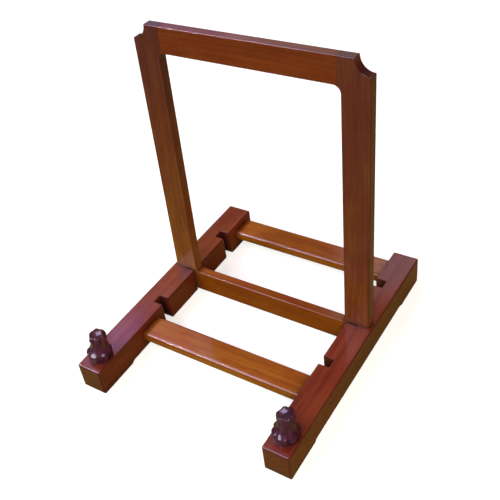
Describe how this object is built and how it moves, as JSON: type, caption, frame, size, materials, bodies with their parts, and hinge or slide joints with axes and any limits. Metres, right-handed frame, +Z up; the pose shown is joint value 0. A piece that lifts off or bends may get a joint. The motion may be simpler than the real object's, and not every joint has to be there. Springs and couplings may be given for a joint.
{
  "type": "display easel",
  "caption": "Tabletop wooden display easel: two notched side rails with carved stop knobs, two stretchers and an open upright frame that lifts out and stands in other notches.",
  "frame": {"origin": "on the table, at the centre of the base's footprint", "axes": "+Z up; -Y towards the stop knobs and the viewer; +X to the viewer's right"},
  "size_m": [0.26, 0.31, 0.3374],
  "materials": {
    "rail_wood": "dark red-brown stained hardwood under gloss lacquer, grain along the rail",
    "stretcher_wood": "orange-brown stained hardwood under gloss lacquer, grain along the board",
    "frame_wood": "red-brown stained hardwood under gloss lacquer, grain along each member",
    "knob_wood": "carved hardwood, stained very dark red-brown, high gloss lacquer",
    "dowel_wood": "plain unfinished hardwood dowel"
  },
  "bodies": {
    "base": {"side_rail_left": "rail_wood", "side_rail_right": "rail_wood", "front_stretcher": "stretcher_wood", "rear_stretcher": "stretcher_wood", "stop_knob_left": "knob_wood", "stop_knob_right": "knob_wood", "knob_dowel_left": "dowel_wood", "knob_dowel_right": "dowel_wood"},
    "upright_frame": {"frame_stile_left": "frame_wood", "frame_stile_right": "frame_wood", "frame_top_rail": "frame_wood", "frame_bottom_rail": "frame_wood"}
  },
  "joints": [
    {"name": "frame_lift", "type": "slide", "parent": "base", "child": "upright_frame", "axis": [0, 0, 1], "range_m": [0, 0.04]}
  ]
}
